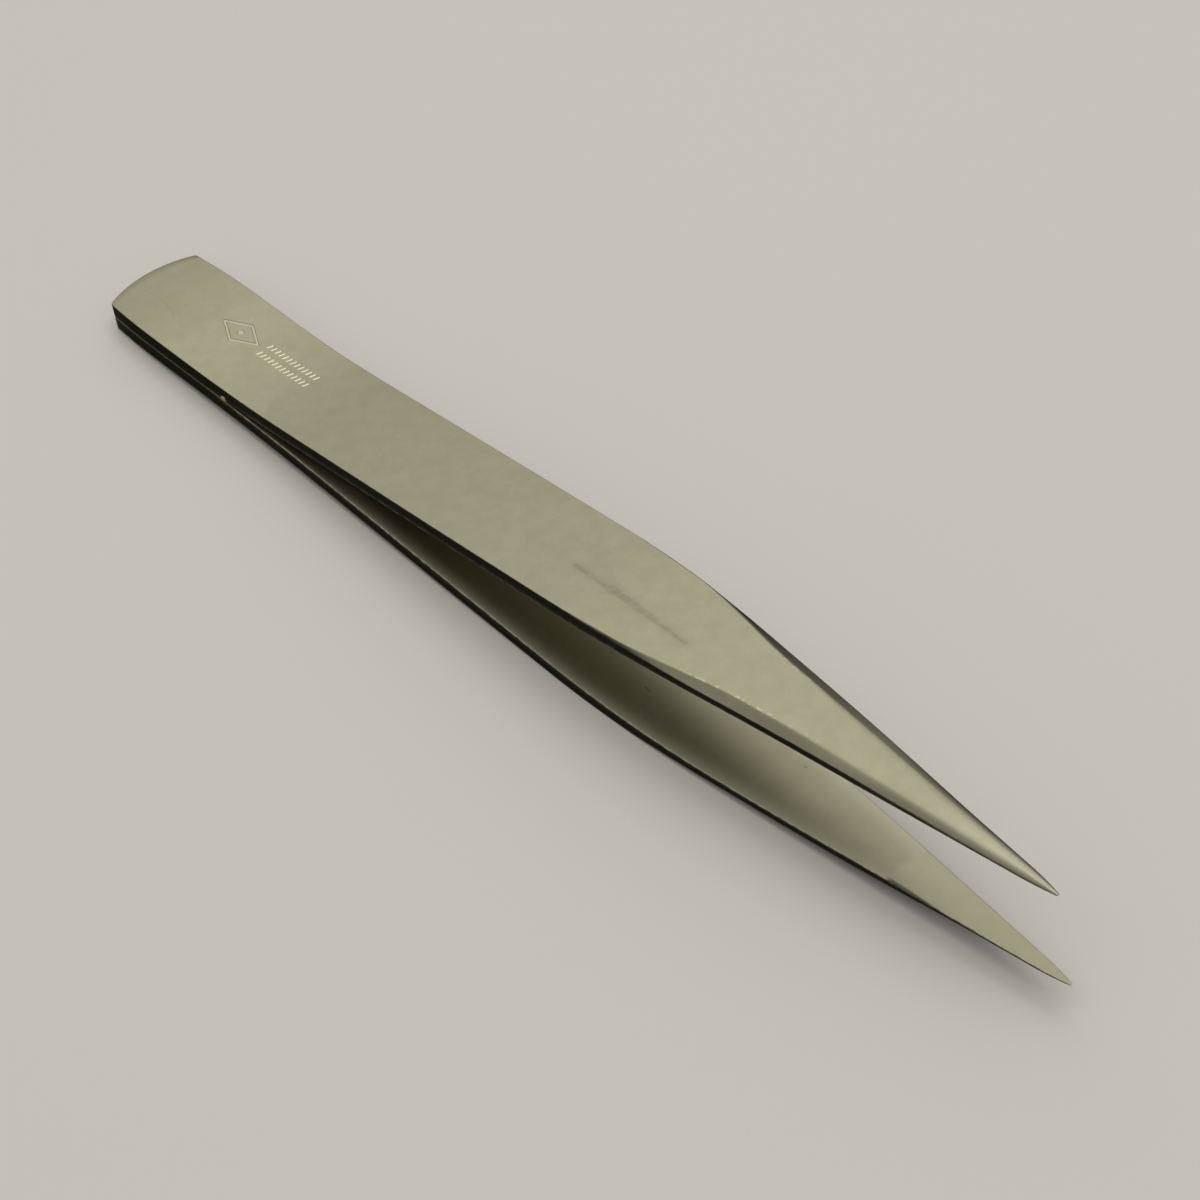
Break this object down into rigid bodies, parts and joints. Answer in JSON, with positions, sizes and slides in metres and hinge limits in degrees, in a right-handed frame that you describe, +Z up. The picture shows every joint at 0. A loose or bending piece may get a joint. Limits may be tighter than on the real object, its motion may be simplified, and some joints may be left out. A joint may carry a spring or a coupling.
{
  "type": "precision tweezers",
  "caption": "Straight steel tweezers with smooth sprung arms that taper to fine needle points, for picking up and placing very small parts.",
  "frame": {"origin": "on the surface the tweezers lie on, under the middle of their bounding box", "axes": "+X along the tweezers from the heel to the tips, +Y across the arms, +Z up; the tweezers lie on the lower arm, on its heel and its belly, so the middle plane between the arms rises 3.219 degrees towards the tips; behind x = -0.038 that plane is bent up a little more, by 0.42 mm in all at the heel"},
  "size_m": [0.1302, 0.0108, 0.0134],
  "materials": {
    "satin_steel": "fine satin, bare stainless spring steel",
    "braze_metal": "bare filler metal, as it set"
  },
  "bodies": {
    "heel": {"upper_arm_heel": "satin_steel", "lower_arm_heel": "satin_steel", "braze_joint": "braze_metal"},
    "upper_arm": {"upper_arm_blade": "satin_steel"},
    "lower_arm": {"lower_arm_blade": "satin_steel"}
  },
  "joints": [
    {"name": "upper_arm_flex", "type": "hinge", "parent": "heel", "child": "upper_arm", "pos_m": [-0.03104, 0, 0.0044], "axis": [0, 1, 0], "range_deg": [0, 2.86], "stiffness_Nm_per_rad": 1.8},
    {"name": "lower_arm_flex", "type": "hinge", "parent": "heel", "child": "lower_arm", "pos_m": [-0.03087, 0, 0.00133], "axis": [0, -1, 0], "range_deg": [0, 2.86], "stiffness_Nm_per_rad": 1.8}
  ]
}
